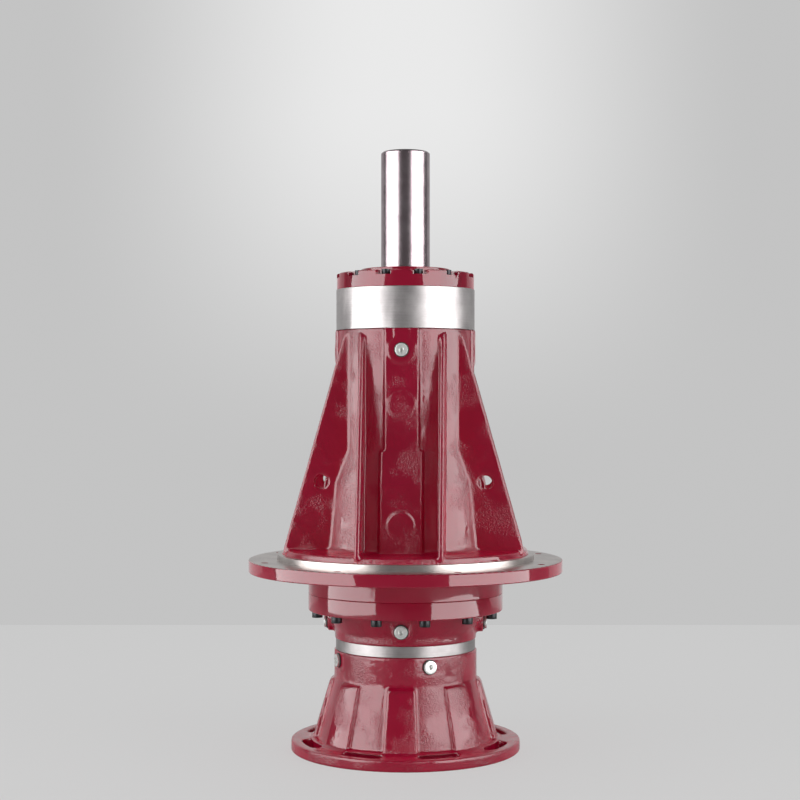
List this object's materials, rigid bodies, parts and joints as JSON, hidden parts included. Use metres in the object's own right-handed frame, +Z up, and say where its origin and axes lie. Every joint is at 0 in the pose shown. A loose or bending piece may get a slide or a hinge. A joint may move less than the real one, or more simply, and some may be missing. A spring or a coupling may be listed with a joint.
{
  "type": "planetary gearbox",
  "caption": "Vertical two-stage planetary gearbox with a ribbed tower housing, round mounting flange, motor bell and plain output shaft.",
  "frame": {"origin": "centre of the motor flange's bottom face, on the shaft axis", "axes": "+Z up along the shaft axis towards the output shaft's end, -Y towards the front oil plug"},
  "size_m": [0.48, 0.48, 0.913],
  "materials": {
    "red_painted_casting": "glossy crimson enamel on cast iron",
    "turned_ring_steel": "turned bare steel",
    "ground_shaft_steel": "ground bright steel",
    "hub_steel": "turned steel, oiled",
    "gear_steel": "hobbed and ground, oiled",
    "carrier_steel": "machined, oiled",
    "bearing_steel": "ground bright",
    "spring_steel": "phosphated spring steel",
    "black_screw": "black oxide",
    "zinc_plated_plug": "bright zinc",
    "sealing_washer": "dull crush washer",
    "bronze_bush": "machined bronze",
    "seal_rubber": "nitrile rubber",
    "thrust_plastic": "wear-resistant nylon"
  },
  "bodies": {
    "root": {"bell_plugs": "zinc_plated_plug", "bell_screws": "black_screw", "cover_screws": "black_screw", "housing_plugs": "zinc_plated_plug", "input_bearing_clip": "spring_steel", "input_bearing_outer": "bearing_steel", "input_seal": "seal_rubber", "intermediate_housing": "red_painted_casting", "lower_bearing_outer": "bearing_steel", "main_housing": "red_painted_casting", "motor_bell": "red_painted_casting", "output_seal": "seal_rubber", "plug_washers": "sealing_washer", "ring_gear_screws": "black_screw", "seal_cover": "red_painted_casting", "stage1_ring_gear": "turned_ring_steel", "stage2_ring_gear": "gear_steel", "stage_plugs": "zinc_plated_plug", "stage_screws": "black_screw", "upper_bearing_outer": "bearing_steel"},
    "output": {"output_shaft": "ground_shaft_steel", "output_shaft_clip": "spring_steel", "upper_bearing_inner": "bearing_steel", "lower_bearing_inner": "bearing_steel", "carrier_2": "carrier_steel", "carrier_2_pins": "carrier_steel", "carrier_2_pin_clips": "spring_steel", "shaft_thrust_button": "thrust_plastic"},
    "second_sun": {"sun_gear_2": "gear_steel", "carrier_1": "carrier_steel", "carrier_1_clips": "spring_steel", "carrier_1_pins": "carrier_steel", "carrier_1_pin_clips": "spring_steel", "sun_thrust_button": "thrust_plastic"},
    "input": {"input_hub": "hub_steel", "input_clip": "spring_steel", "input_bearing_inner": "bearing_steel", "sun_gear_1": "gear_steel", "sun_gear_1_screw": "black_screw"},
    "upper_cage": {"upper_bearing_rollers": "bearing_steel"},
    "lower_cage": {"lower_bearing_rollers": "bearing_steel"},
    "planet_1_a": {"planet_1_a": "gear_steel", "planet_1_a_bush": "bronze_bush"},
    "planet_1_b": {"planet_1_b": "gear_steel", "planet_1_b_bush": "bronze_bush"},
    "planet_1_c": {"planet_1_c": "gear_steel", "planet_1_c_bush": "bronze_bush"},
    "planet_2_a": {"planet_2_a": "gear_steel", "planet_2_a_bush": "bronze_bush"},
    "planet_2_b": {"planet_2_b": "gear_steel", "planet_2_b_bush": "bronze_bush"},
    "planet_2_c": {"planet_2_c": "gear_steel", "planet_2_c_bush": "bronze_bush"}
  },
  "joints": [
    {"name": "input_spin", "type": "hinge", "parent": "root", "child": "input", "pos_m": [0, 0, 0.1], "axis": [0, 0, 1], "continuous": true},
    {"name": "output_spin", "type": "hinge", "parent": "root", "child": "output", "pos_m": [0, 0, 0.5], "axis": [0, 0, 1], "continuous": true},
    {"name": "second_sun_spin", "type": "hinge", "parent": "root", "child": "second_sun", "pos_m": [0, 0, 0.2], "axis": [0, 0, 1], "continuous": true},
    {"name": "upper_cage_spin", "type": "hinge", "parent": "root", "child": "upper_cage", "pos_m": [0, 0, 0.66], "axis": [0, 0, 1], "continuous": true},
    {"name": "lower_cage_spin", "type": "hinge", "parent": "root", "child": "lower_cage", "pos_m": [0, 0, 0.36], "axis": [0, 0, 1], "continuous": true},
    {"name": "planet_2_a_spin", "type": "hinge", "parent": "output", "child": "planet_2_a", "pos_m": [0.072, 0, 0.27], "axis": [0, 0, 1], "continuous": true},
    {"name": "planet_2_b_spin", "type": "hinge", "parent": "output", "child": "planet_2_b", "pos_m": [-0.036, 0.06235, 0.27], "axis": [0, 0, 1], "continuous": true},
    {"name": "planet_2_c_spin", "type": "hinge", "parent": "output", "child": "planet_2_c", "pos_m": [-0.036, -0.06235, 0.27], "axis": [0, 0, 1], "continuous": true},
    {"name": "planet_1_a_spin", "type": "hinge", "parent": "second_sun", "child": "planet_1_a", "pos_m": [0.054, 0, 0.17], "axis": [0, 0, 1], "continuous": true},
    {"name": "planet_1_b_spin", "type": "hinge", "parent": "second_sun", "child": "planet_1_b", "pos_m": [-0.027, 0.04677, 0.17], "axis": [0, 0, 1], "continuous": true},
    {"name": "planet_1_c_spin", "type": "hinge", "parent": "second_sun", "child": "planet_1_c", "pos_m": [-0.027, -0.04677, 0.17], "axis": [0, 0, 1], "continuous": true}
  ],
  "couplings": [
    {"joint": "output_spin", "follows": "input_spin", "ratio": 0.052083},
    {"joint": "second_sun_spin", "follows": "input_spin", "ratio": 0.20833},
    {"joint": "upper_cage_spin", "follows": "input_spin", "ratio": 0.022708},
    {"joint": "lower_cage_spin", "follows": "input_spin", "ratio": 0.022135},
    {"joint": "planet_2_a_spin", "follows": "input_spin", "ratio": -0.15625},
    {"joint": "planet_2_b_spin", "follows": "input_spin", "ratio": -0.15625},
    {"joint": "planet_2_c_spin", "follows": "input_spin", "ratio": -0.15625},
    {"joint": "planet_1_a_spin", "follows": "input_spin", "ratio": -0.56548},
    {"joint": "planet_1_b_spin", "follows": "input_spin", "ratio": -0.56548},
    {"joint": "planet_1_c_spin", "follows": "input_spin", "ratio": -0.56548}
  ]
}
